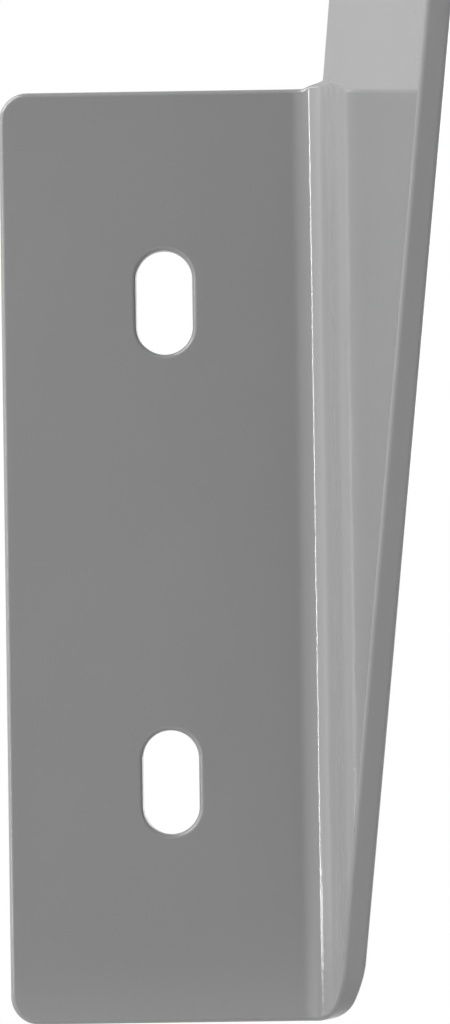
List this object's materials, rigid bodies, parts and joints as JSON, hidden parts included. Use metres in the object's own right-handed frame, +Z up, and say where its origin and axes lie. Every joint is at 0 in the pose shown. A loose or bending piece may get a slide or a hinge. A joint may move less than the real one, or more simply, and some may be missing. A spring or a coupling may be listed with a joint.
{
  "type": "shelf bracket",
  "caption": "Folded sheet-steel shelf bracket: an upright wall plate with screw slots, and a web that leans outward and rises above the plate as a flat arm",
  "frame": {"origin": "midway between the two wall slots, on the face of the plate that goes against the wall", "axes": "+Z up, +Y into the wall along the screws, +X towards the folded side; the arm stands out from the wall towards -Y"},
  "size_m": [0.0593, 0.1132, 0.1765],
  "materials": {
    "painted_steel": "glossy grey powder coat"
  },
  "bodies": {
    "root": {"bracket": "painted_steel"}
  },
  "joints": []
}
